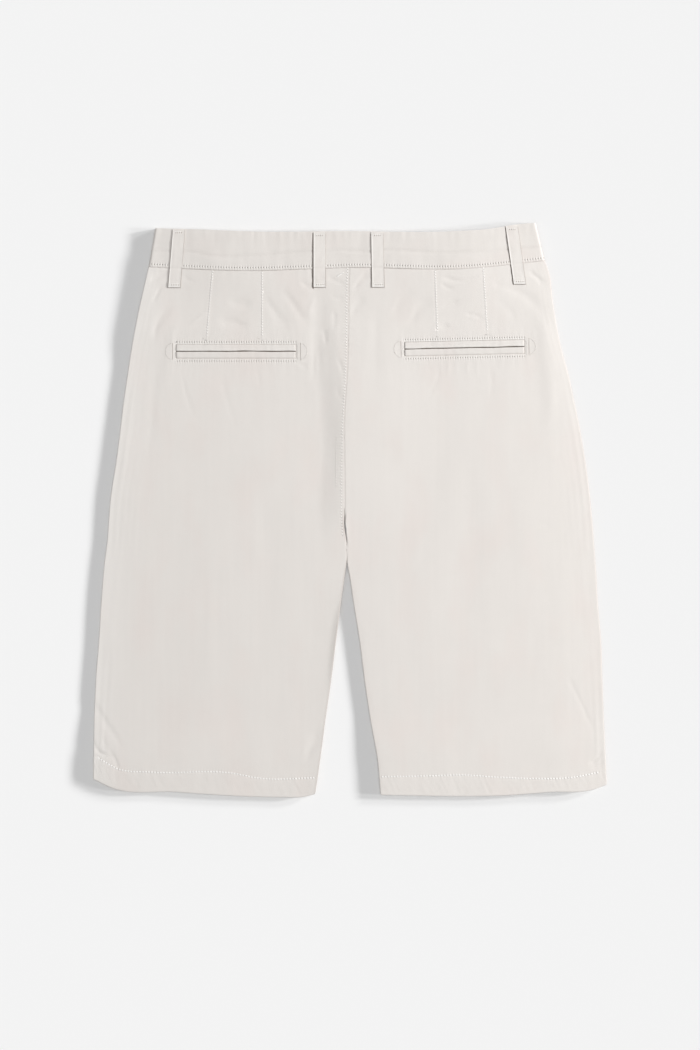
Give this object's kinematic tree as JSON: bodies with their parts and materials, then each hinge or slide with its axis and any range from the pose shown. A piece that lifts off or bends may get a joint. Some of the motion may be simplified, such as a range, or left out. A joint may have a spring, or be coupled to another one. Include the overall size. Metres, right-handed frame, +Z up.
{
  "type": "bermuda shorts laid flat",
  "caption": "Knee-length cotton twill bermuda shorts laid flat with the back up: belt loops on a straight waistband, double-welt back pockets and turned-up hems.",
  "frame": {"origin": "on the surface the shorts lie on, under the middle of their outline", "axes": "+Z up, out of the back of the shorts; +Y towards the waist; +X towards the wearer's right leg"},
  "size_m": [0.5376, 0.6042, 0.0106],
  "materials": {
    "cloth": "matt stone-coloured washed cotton twill",
    "zip_tape": "woven polyester tape",
    "button": "satin horn-effect resin"
  },
  "bodies": {
    "root": {"back_left": "cloth", "back_right": "cloth", "front_left": "cloth", "front_right": "cloth", "waistband": "cloth", "belt_loop_back_outer_left": "cloth", "belt_loop_back_inner_left": "cloth", "belt_loop_back_inner_right": "cloth", "belt_loop_back_outer_right": "cloth", "belt_loop_front_left": "cloth", "belt_loop_front_right": "cloth", "welt_left_upper": "cloth", "welt_left_lower": "cloth", "welt_right_upper": "cloth", "welt_right_lower": "cloth", "pocket_facing_left": "cloth", "pocket_facing_right": "cloth", "fly_zip": "zip_tape", "waist_button": "button"}
  },
  "joints": []
}
